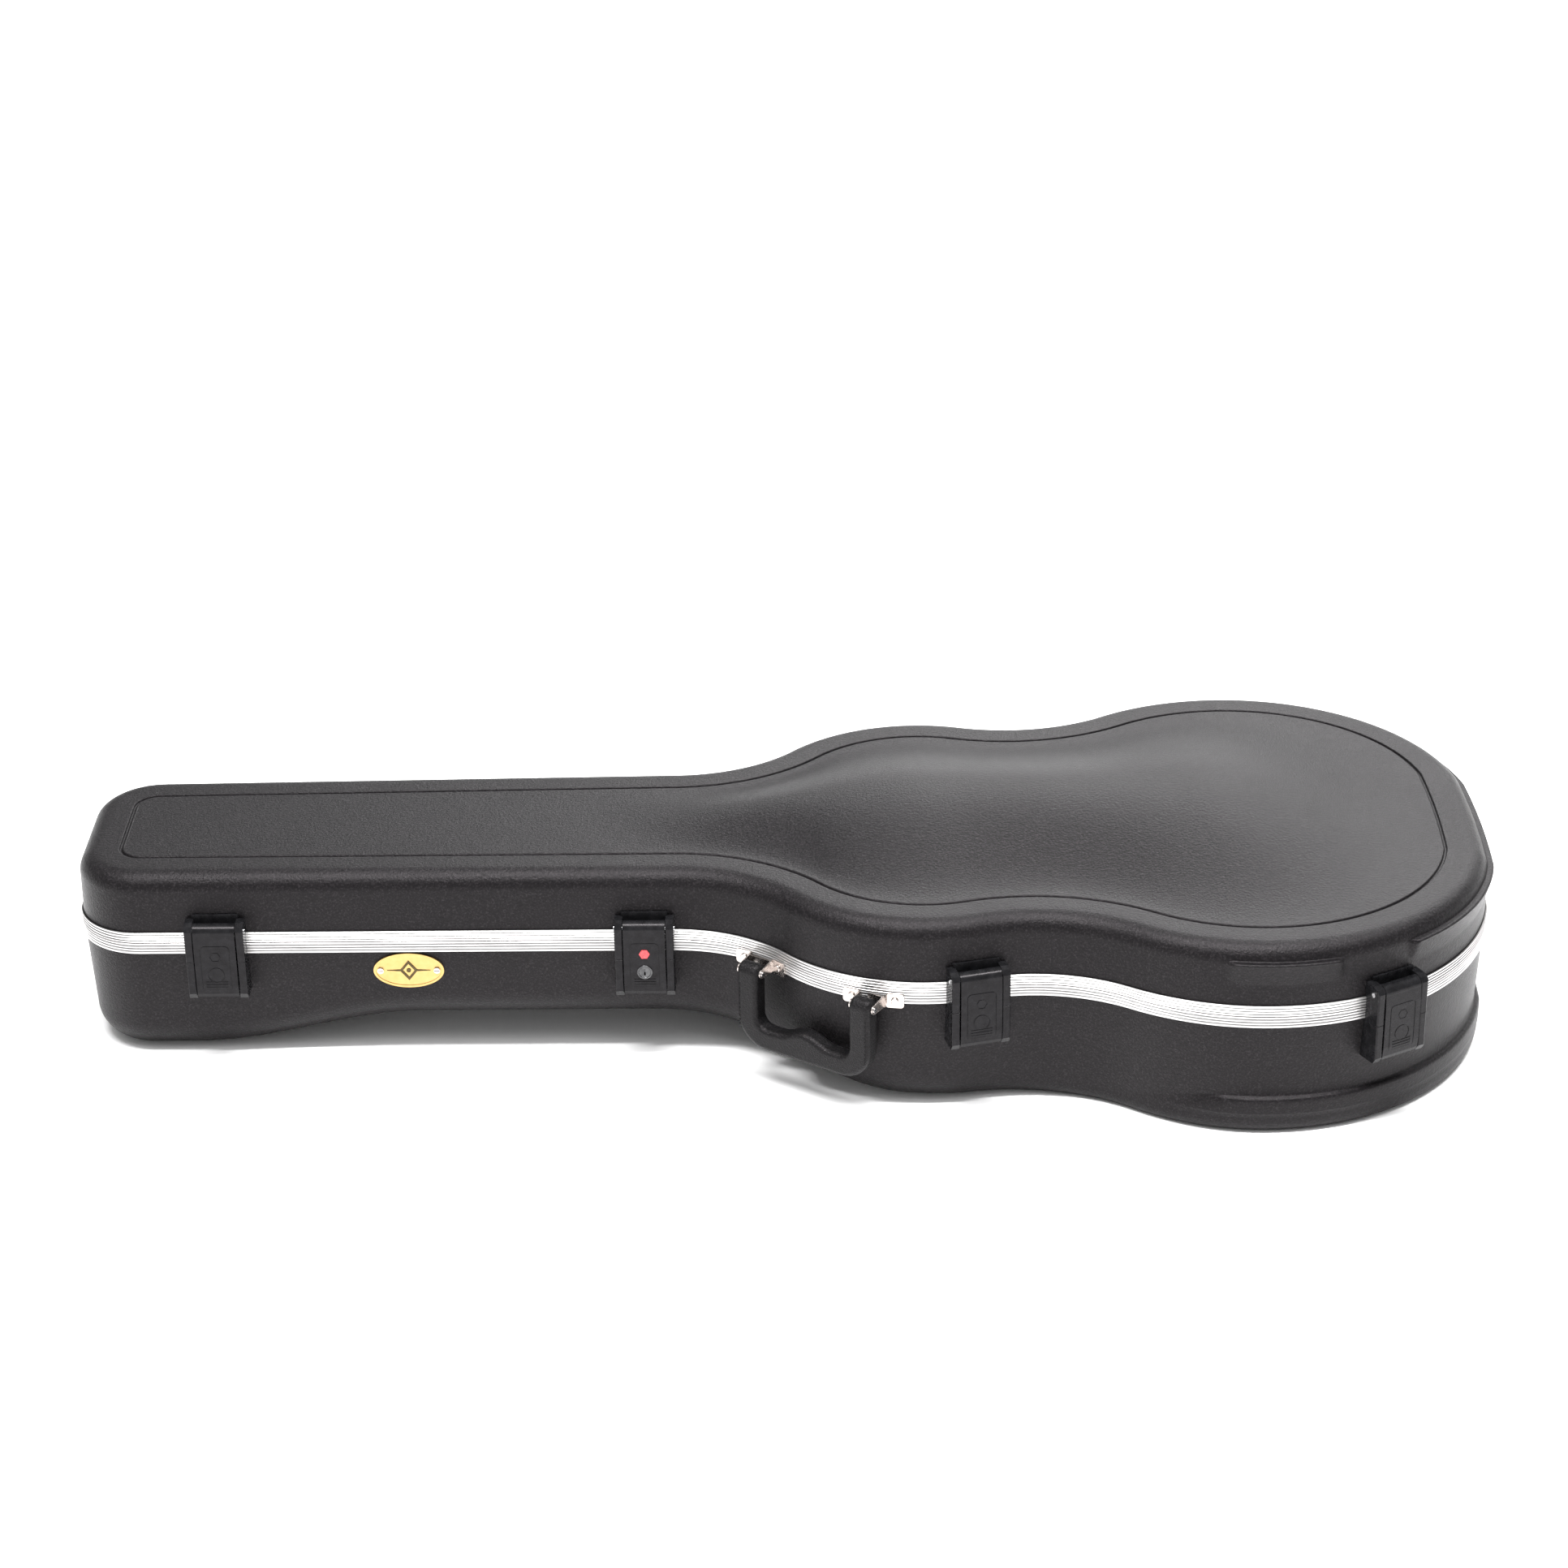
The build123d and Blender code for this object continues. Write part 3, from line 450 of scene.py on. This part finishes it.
def puff(obj, height):
    """Moves each vertex along its normal by height(x, y, z, normal) in millimetres."""
    mesh = obj.data
    count = len(mesh.vertices)
    place, normal = np.empty(count * 3), np.empty(count * 3)
    mesh.vertices.foreach_get("co", place)
    mesh.vertices.foreach_get("normal", normal)
    place, normal = place.reshape(-1, 3), normal.reshape(-1, 3)
    x, y, z = place.T / MM
    place += normal * (height(x, y, z, normal) * MM)[:, None]
    mesh.vertices.foreach_set("co", place.ravel())
    mesh.update()


def ripple(x, y, z):
    """Slow unevenness of hand-laid plush, from -1 to 1."""
    return (np.sin(x / 37 + 1.3) * np.cos(y / 29 + z / 41) + np.sin(x / 83 - y / 61 + 0.7)) / 2


def piping(name, inset, z, body):
    """A thin welt sewn along the edge of a lining."""
    profile = [(inset + 1.7 * math.cos(math.radians(a)), z + 1.7 * math.sin(math.radians(a)))
               for a in range(0, 360, 30)]
    welt = band(name, profile)
    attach(welt, body)
    return welt


def base_crown(x, y, z, normal):
    wall = np.clip((z - 20) / (LINING_TOP_Z - 20), 0, 1)
    upright = 1 - np.abs(normal[:, 2])
    return upright * (1.3 * np.sin(math.pi * wall) + 0.5 * ripple(x, y, z)) - 0.3


def lid_crown(x, y, z, normal):
    wall = np.clip((z - LID_LINING_Z) / (LID_CAVITY_Z - LID_LINING_Z), 0, 1)
    facing_down = np.clip(-normal[:, 2], 0, 1) * (z > LID_CAVITY_Z - 8)
    upright = 1 - np.abs(normal[:, 2])
    tuft = np.cos(x / 75 * math.pi) * np.cos(y / 75 * math.pi)
    return upright * 1.2 * np.sin(math.pi * wall) + facing_down * (0.7 * tuft ** 2 + 0.2) - 0.3


base_plush = soft_copy("base_lining", "base_plush", 4.0, 4)
puff(base_plush, base_crown)
lid_plush = soft_copy("lid_lining", "lid_plush", 4.0, 4)
puff(lid_plush, lid_crown)
base_welt = piping("base_welt", LINING_INSET - 2.6, LINING_TOP_Z + 0.6, "base")
lid_welt = piping("lid_welt", LINING_INSET - 2.6, LID_LINING_Z - 0.2, "lid")


CLOTH_FRAMES, CLOTH_LIMIT = 20, 2.2


def inflate(obj, pressure):
    """Puffs a closed pad with a short cloth simulation, then keeps its result."""
    cloth = obj.modifiers.new("cloth", "CLOTH")
    cloth.settings.use_pressure = True
    cloth.settings.uniform_pressure_force = pressure
    cloth.settings.effector_weights.gravity = 0
    cloth.settings.tension_stiffness = 60
    cloth.settings.compression_stiffness = 60
    cloth.point_cache.frame_end = CLOTH_FRAMES
    before = np.array([v.co for v in obj.data.vertices])
    for number in range(1, CLOTH_FRAMES + 1):
        bpy.context.scene.frame_set(number)
    bake(obj)
    bpy.context.scene.frame_set(1)
    after = np.array([v.co for v in obj.data.vertices])
    move = after - before
    size = np.linalg.norm(move, axis=1)[:, None]
    after = before + move * np.minimum(1, CLOTH_LIMIT * MM / np.maximum(size, 1e-9))
    obj.data.vertices.foreach_set("co", after.ravel())
    obj.data.update()


rest_pad = soft_copy("neck_rest", "neck_rest_pad", 3.0, 3)
inflate(rest_pad, 4.0)
door_pad = soft_copy("compartment_lid", "compartment_door", 1.3, 2)
puff(door_pad, lambda x, y, z, normal: 0.15 * ripple(x * 3, y * 3, z) - 0.1)


def ribbon_pull():
    """A ribbon folded back on itself, with its sewn end under the fold."""
    low, high, fold_y, end_y = 64.55, 65.85, -30.3, -14.0
    path = [(y, low) for y in np.linspace(end_y, fold_y, 9)]
    for step in range(20, 180, 20):
        angle = math.radians(step)
        path.append((fold_y - 0.65 * math.sin(angle), (low + high) / 2 - 0.65 * math.cos(angle)))
    path += [(y, high - 0.25 * ((y - fold_y) / (end_y - fold_y)) ** 2)
             for y in np.linspace(fold_y, end_y - 1, 9)]
    verts, faces, thick = [], [], 0.22
    path = np.array(path)
    along = np.gradient(path, axis=0)
    along /= np.linalg.norm(along, axis=1)[:, None]
    across = np.linspace(-239.5, -220.5, 11)
    for side in (-1, 1):
        for (y, z), (ty, tz) in zip(path, along):
            for x in across:
                verts.append((x, y - tz * thick * side, z + ty * thick * side))
    rows, cols = len(path), len(across)
    sheet = rows * cols
    for r in range(rows - 1):
        for c in range(cols - 1):
            a = r * cols + c
            faces.append((a, a + 1, a + cols + 1, a + cols))
            faces.append((sheet + a, sheet + a + cols, sheet + a + cols + 1, sheet + a + 1))
    edge = [r * cols for r in range(rows)] + [(rows - 1) * cols + c for c in range(1, cols)]
    edge += [r * cols + cols - 1 for r in range(rows - 2, -1, -1)] + list(range(cols - 2, 0, -1))
    for a, b in zip(edge, edge[1:] + edge[:1]):
        faces.append((a, b, sheet + b, sheet + a))
    length = np.linalg.norm(np.diff(path, axis=0), axis=1).sum()
    return clean(add_mesh("ribbon_pull", verts, faces), merge=1e-7), length


tab_ribbon, ribbon_length = ribbon_pull()
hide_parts("compartment_tab")


def stitches(name, ends, radius=0.32):
    """Short capsules of thread between pairs of points, in millimetres."""
    verts, faces = [], []
    for start, end in ends:
        start, end = Vector(start), Vector(end)
        turn = (end - start).to_track_quat("Z", "Y").to_matrix()
        length = (end - start).length
        first = len(verts)
        for share, wide in ((0.0, 0.35), (0.12, 0.85), (0.5, 1.0), (0.88, 0.85), (1.0, 0.35)):
            for k in range(6):
                angle = math.radians(60 * k)
                spoke = Vector((radius * wide * math.cos(angle), radius * wide * math.sin(angle),
                                share * length))
                verts.append(tuple(start + turn @ spoke))
        for row in range(4):
            for k in range(6):
                a, b = first + row * 6 + k, first + row * 6 + (k + 1) % 6
                faces.append((a, b, b + 6, a + 6))
        faces.append(tuple(range(first, first + 6)))
        faces.append(tuple(range(first + 24, first + 30)))
    return clean(add_mesh(name, verts, faces), merge=1e-7)


tab_thread = stitches("tab_stitches", [
    ((x, y, 66.0), (x + 2.0, y, 66.0)) for y in (-17.2, -27.5) for x in np.arange(-238, -222.5, 2.9)])

HANDLE_AT, HANDLE_ANGLE = (27.7, -144.55), math.radians(-33.96)


def handle_point(side, up, out):
    """A point on the handle: along the wall, above the parting plane, out from the wall."""
    along = np.array([math.cos(HANDLE_ANGLE), math.sin(HANDLE_ANGLE)])
    ahead = np.array([math.sin(HANDLE_ANGLE), -math.cos(HANDLE_ANGLE)])
    x, y = np.array(HANDLE_AT) + along * side + ahead * out
    return (x, y, PARTING_Z + up)


grip_thread = stitches("handle_stitches", [
    (handle_point(side, up, 23.45), handle_point(side, up - 2.6, 23.45))
    for side in (-57.3, 57.3) for up in np.arange(-16.0, -54.0, -3.5)])
for obj, body in ((base_plush, "base"), (lid_plush, "lid"), (rest_pad, "base"),
                  (door_pad, "compartment"), (tab_ribbon, "compartment"),
                  (tab_thread, "compartment"), (grip_thread, "handle")):
    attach(obj, body)

# ---------------------------------------------------------------- materials
class Material:
    """A node material; its helpers add nodes and return their output sockets."""

    def __init__(self, name, **sockets):
        self.material = bpy.data.materials.new(name)
        self.material.use_nodes = True
        self.tree = self.material.node_tree
        self.shader = self.tree.nodes["Principled BSDF"]
        self.place = self.tree.nodes.new("ShaderNodeTexCoord").outputs["Object"]
        for socket, value in sockets.items():
            self.shader.inputs[socket.replace("_", " ")].default_value = value

    def node(self, kind, **facts):
        made = self.tree.nodes.new(kind)
        inputs = facts.pop("inputs", {})
        for fact, value in facts.items():
            setattr(made, fact, value)
        for key, value in inputs.items():
            if isinstance(value, bpy.types.NodeSocket):
                self.tree.links.new(value, made.inputs[key])
            else:
                made.inputs[key].default_value = value
        return made

    def stretch(self, scale):
        return self.node("ShaderNodeMapping", inputs={"Vector": self.place, "Scale": scale}).outputs[0]

    def noise(self, size, detail=2.0, place=None, rough=0.5):
        """Noise whose features are about this many millimetres across."""
        return self.node("ShaderNodeTexNoise", inputs={
            "Vector": place or self.place, "Scale": 1 / (size * MM), "Detail": detail,
            "Roughness": rough}).outputs["Fac"]

    def cells(self, size, feature):
        """Voronoi cells about this many millimetres across."""
        made = self.node("ShaderNodeTexVoronoi", feature=feature, inputs={
            "Vector": self.place, "Scale": 1 / (size * MM)})
        return made.outputs["Distance"]

    def ramp(self, factor, low, high, start=0.0, end=1.0):
        """Maps a factor between start and end onto a colour or number from low to high."""
        made = self.node("ShaderNodeMapRange", inputs={
            "Value": factor, "From Min": start, "From Max": end})
        if not isinstance(low, tuple):
            made.inputs["To Min"].default_value = low
            made.inputs["To Max"].default_value = high
            return made.outputs["Result"]
        mixed = self.node("ShaderNodeMix", data_type="RGBA", inputs={0: made.outputs["Result"]})
        mixed.inputs["A"].default_value = (*low, 1)
        mixed.inputs["B"].default_value = (*high, 1)
        return mixed.outputs[2]

    def maths(self, operation, *values):
        return self.node("ShaderNodeMath", operation=operation,
                         inputs=dict(enumerate(values))).outputs[0]

    def link(self, **sources):
        for socket, source in sources.items():
            self.tree.links.new(source, self.shader.inputs[socket.replace("_", " ")])
        return self

    def bump(self, *layers):
        """Bump layers of (height socket, depth in mm), the coarsest first."""
        last = None
        for height, depth in layers:
            inputs = {"Height": height, "Distance": depth * MM, "Strength": 1.0}
            if last is not None:
                inputs["Normal"] = last
            last = self.node("ShaderNodeBump", inputs=inputs).outputs["Normal"]
        self.tree.links.new(last, self.shader.inputs["Normal"])
        return self


def grained_abs():
    """Black ABS with pebbled grain; pale flecks painted into its colour stand in for glints off the
    grain.
    """
    made = Material("grained_abs", IOR=1.46, Specular_IOR_Level=0.2,
                    Specular_Tint=(1.0, 0.94, 0.97, 1))
    pebble = made.cells(1.9, "SMOOTH_F1")
    fine = made.noise(0.9, 3.0, rough=0.7)
    painted_glint = made.noise(1.5, 2.0, rough=0.8)
    broad = made.noise(90.0, 3.0)
    # Painted highlights: pale flecks in the colour stand in for glints off the grain.
    colour = made.ramp(painted_glint, (0.0025, 0.0022, 0.0026), (0.026, 0.023, 0.025), 0.5, 0.8)
    rough = made.maths("ADD", made.ramp(broad, 0.24, 0.30, 0.3, 0.7), made.ramp(fine, 0.0, 0.16))
    made.link(Base_Color=colour, Roughness=rough)
    return made.bump((pebble, 0.22), (fine, 0.34)).material


def ribbed_aluminium():
    """Satin anodised aluminium with faint drawing lines along the band and painted shade darkening its
    rib grooves.
    """
    made = Material("ribbed_aluminium", Metallic=1.0)
    lines = made.noise(0.5, 2.0, made.stretch((0.003, 0.003, 1.0)))
    height = made.node("ShaderNodeSeparateXYZ", inputs={0: made.place}).outputs["Z"]
    away = made.maths("ABSOLUTE", made.maths("SUBTRACT", height, PARTING_Z * MM))
    rib = made.maths("PINGPONG", made.maths("ADD", away, 0.3 * MM), RIB_PITCH / 2 * MM)
    # Painted shade: this mask darkens the colour in the recessed rib grooves.
    groove = made.ramp(rib, 1.0, 0.0, 0.22 * MM, 0.5 * MM)
    mottle = made.noise(14.0, 4.0)
    colour = made.ramp(mottle, (0.56, 0.548, 0.545), (0.68, 0.666, 0.662), 0.3, 0.7)
    groove_shaded = made.node("ShaderNodeMix", data_type="RGBA", inputs={0: groove, 6: colour})
    groove_shaded.inputs["B"].default_value = (0.16, 0.158, 0.155, 1)
    made.link(Base_Color=groove_shaded.outputs[2], Roughness=made.ramp(lines, 0.28, 0.38))
    return made.bump((lines, 0.008)).material


def moulded_nylon():
    """Satin black nylon with a little flow mottle."""
    made = Material("moulded_nylon", IOR=1.46, Specular_IOR_Level=0.17,
                    Specular_Tint=(1.0, 0.94, 0.97, 1))
    flow = made.noise(6.0, 4.0)
    fine = made.noise(0.35, 2.0)
    made.link(Base_Color=made.ramp(flow, (0.004, 0.004, 0.0045), (0.010, 0.010, 0.011), 0.3, 0.7),
              Roughness=made.maths("ADD", made.ramp(flow, 0.20, 0.27, 0.3, 0.7),
                                   made.ramp(fine, 0.0, 0.05)))
    return made.bump((fine, 0.015)).material


def coated_steel():
    """Black coated steel with faint orange peel."""
    made = Material("coated_steel", IOR=1.5)
    peel = made.noise(1.2, 2.0)
    made.link(Base_Color=made.ramp(peel, (0.012, 0.012, 0.013), (0.028, 0.028, 0.03), 0.3, 0.7),
              Roughness=made.ramp(peel, 0.30, 0.42))
    return made.bump((peel, 0.03)).material


def grip_leather():
    """Moulded grip with fine leather creases; pale flecks painted into its colour stand in for glints
    off the grain.
    """
    made = Material("grip_leather", IOR=1.46, Specular_IOR_Level=0.17,
                    Specular_Tint=(1.0, 0.94, 0.97, 1))
    crease = made.cells(2.1, "DISTANCE_TO_EDGE")
    fine = made.noise(0.6, 3.0, rough=0.7)
    painted_glint = made.noise(1.1, 2.0, rough=0.75)
    # Painted highlights: pale flecks in the colour stand in for glints off the grain.
    made.link(Base_Color=made.ramp(painted_glint, (0.004, 0.004, 0.0042), (0.024, 0.022, 0.024), 0.52, 0.8),
              Roughness=made.ramp(fine, 0.30, 0.46))
    return made.bump((made.ramp(crease, 0.0, 1.0, 0.0, 0.16), 0.14), (fine, 0.1)).material


def plated(name, dark, light, low, high, grain=0.5, stretch=(1.0, 1.0, 1.0)):
    """Plated metal with brushed grain and faint tarnish."""
    made = Material(name, Metallic=1.0)
    brushed = made.noise(grain, 3.0, made.stretch(stretch))
    tarnish = made.noise(5.0, 4.0)
    made.link(Base_Color=made.ramp(tarnish, dark, light, 0.3, 0.7),
              Roughness=made.ramp(brushed, low, high))
    return made.bump((brushed, 0.012)).material


def enamel(name, dark, light):
    """Glossy enamel under a thin clear coat."""
    made = Material(name, IOR=1.5, Coat_Weight=0.6, Coat_Roughness=0.08)
    cloud = made.noise(1.5, 3.0)
    made.link(Base_Color=made.ramp(cloud, dark, light, 0.3, 0.7),
              Roughness=made.ramp(cloud, 0.22, 0.35))
    return made.bump((cloud, 0.01)).material


def plush(name, dark, light):
    """Short-pile plush: fine fibre tips, broad brushed patches and a soft sheen."""
    made = Material(name, Sheen_Weight=0.6, Sheen_Roughness=0.45, IOR=1.35)
    pile = made.noise(0.55, 4.0, rough=0.8)
    nap = made.noise(26.0, 4.0, rough=0.6)
    shade = made.maths("ADD", made.maths("MULTIPLY", pile, 0.6), made.maths("MULTIPLY", nap, 0.4))
    made.link(Base_Color=made.ramp(shade, dark, light, 0.34, 0.66),
              Roughness=made.ramp(pile, 0.82, 0.97))
    return made.bump((nap, 0.35), (pile, 0.3)).material


def webbing():
    """Woven ribbon: ribs across its width over fine warp threads."""
    made = Material("webbing", Sheen_Weight=0.25, Sheen_Roughness=0.4, IOR=1.4)
    weft = made.node("ShaderNodeTexWave", bands_direction="Y", inputs={
        "Vector": made.place, "Scale": 0.314 / (0.8 * MM), "Distortion": 0.4}).outputs["Fac"]
    warp = made.node("ShaderNodeTexWave", bands_direction="X", inputs={
        "Vector": made.place, "Scale": 0.314 / (0.6 * MM), "Distortion": 0.4}).outputs["Fac"]
    weave = made.maths("MULTIPLY", weft, warp)
    made.link(Base_Color=made.ramp(weave, (0.012, 0.012, 0.013), (0.06, 0.06, 0.063)),
              Roughness=made.ramp(weave, 0.75, 0.9))
    return made.bump((weave, 0.12)).material


ABS, ALUMINIUM, NYLON, STEEL, GRIP = (
    grained_abs(), ribbed_aluminium(), moulded_nylon(), coated_steel(), grip_leather())
NICKEL = plated("nickel_plate", (0.50, 0.45, 0.425), (0.60, 0.55, 0.52), 0.22, 0.32)
PIN = plated("pin_steel", (0.55, 0.55, 0.56), (0.74, 0.74, 0.76), 0.14, 0.28)
LOCK = plated("lock_plate", (0.05, 0.05, 0.052), (0.11, 0.11, 0.112), 0.14, 0.26)
GOLD = plated("pale_gold", (0.50, 0.335, 0.125), (0.56, 0.38, 0.155), 0.30, 0.42, 0.5, (0.05, 1, 1))
ORNAMENT = plated("dark_gold", (0.05, 0.038, 0.02), (0.10, 0.075, 0.04), 0.24, 0.38)
RED = enamel("red_enamel", (0.50, 0.012, 0.02), (0.72, 0.03, 0.04))
LINING = plush("charcoal_plush", (0.010, 0.010, 0.012), (0.055, 0.055, 0.06))
RIBBON = webbing()

LOOKS = {
    "latch_strikers": NYLON, "latch_base_": NYLON, "latch_head_": NYLON, "latch_lever_": NYLON,
    "latch_hook_": STEEL, "latch_pin_": PIN, "lock_bezel": LOCK, "lock_cylinder": LOCK,
    "lock_cam": LOCK, "lock_inlay": RED, "handle_grip": GRIP, "handle_bracket_": NICKEL,
    "handle_pin_": PIN, "handle_rivets": NICKEL, "hinge_base_leaf_": STEEL,
    "hinge_lid_leaf_": STEEL, "hinge_pin_": PIN, "hinge_base_rivets": STEEL,
    "hinge_lid_rivets": STEEL, "nameplate_ornament": ORNAMENT, "nameplate_screws": NICKEL,
    "nameplate": GOLD, "base_lining": LINING, "lid_lining": LINING, "neck_rest": LINING,
    "compartment_lid": LINING, "compartment_tab": RIBBON,
}


def paint(obj, material):
    """Gives a piece one material."""
    obj.data.materials.clear()
    obj.data.materials.append(material)


for node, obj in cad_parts.items():
    for start, material in LOOKS.items():
        if node.startswith(start):
            for slot in obj.material_slots:
                slot.material = material
            break
for material, pieces in (
    (ABS, (lid_skin, base_skin)), (ALUMINIUM, band_pieces), (RIBBON, (tab_ribbon, tab_thread)),
    (LINING, (base_plush, lid_plush, base_welt, lid_welt, rest_pad, door_pad)),
    (GRIP, (grip_thread,)),
):
    for obj in pieces:
        paint(obj, material)

# ---------------------------------------------------------------- studio
CAMERA_AT = Vector((0.023573, -2.587217, 1.478051))
PITCH, YAW, ROLL = 0.462, -0.008, -0.016
LENS = 84.37


def studio_camera():
    """Places the camera from its position, pitch, yaw and roll."""
    ahead = Vector((math.sin(YAW) * math.cos(PITCH), math.cos(YAW) * math.cos(PITCH),
                    -math.sin(PITCH)))
    level = Vector((math.cos(YAW), -math.sin(YAW), 0))
    upright = level.cross(ahead)
    right = level * math.cos(ROLL) + upright * math.sin(ROLL)
    top = upright * math.cos(ROLL) - level * math.sin(ROLL)
    lens = bpy.data.cameras.new("camera")
    lens.lens = LENS
    lens.sensor_width = 36.0
    lens.clip_end = 50
    camera = bpy.data.objects.new("camera", lens)
    turn = Matrix((right, top, -ahead)).transposed().to_4x4()
    camera.matrix_world = Matrix.Translation(CAMERA_AT) @ turn
    bpy.context.scene.collection.objects.link(camera)
    bpy.context.scene.camera = camera


def softbox(name, place, aim, width, height, power):
    lamp = bpy.data.lights.new(name, "AREA")
    lamp.shape = "RECTANGLE"
    lamp.size = width
    lamp.size_y = height
    lamp.energy = power
    box = bpy.data.objects.new(name, lamp)
    box.location = place
    box.rotation_euler = (Vector(aim) - Vector(place)).to_track_quat("-Z", "Y").to_euler()
    bpy.context.scene.collection.objects.link(box)


def studio_floor():
    floor = add_mesh("floor", [(-9, -9, 0), (9, -9, 0), (9, 9, 0), (-9, 9, 0)], [(0, 1, 2, 3)],
                     smooth=False, scale=1.0)
    made = Material("studio_floor", Roughness=0.7)
    made.link(Base_Color=made.ramp(made.noise(700.0, 3.0), (0.94, 0.94, 0.94), (0.97, 0.97, 0.97)))
    paint(floor, made.material)


studio_camera()
studio_floor()
# Place, aim, width and height in metres, then watts.
softbox("back", (1.3, 3.0, 2.0), (0.1, 0, 0.1), 3.6, 1.6, 118)
softbox("over", (-0.3, -0.9, 3.4), (0, -0.1, 0), 3.6, 2.6, 66)
softbox("strip", (0.1, -0.55, 2.3), (0.05, 0, 0.1), 2.6, 0.2, 130)
world = bpy.data.worlds.new("studio")
world.use_nodes = True
world.node_tree.nodes["Background"].inputs["Color"].default_value = (1, 1, 1, 1)
world.node_tree.nodes["Background"].inputs["Strength"].default_value = 0.62
bpy.context.scene.world = world
bpy.context.scene.view_settings.view_transform = "Standard"
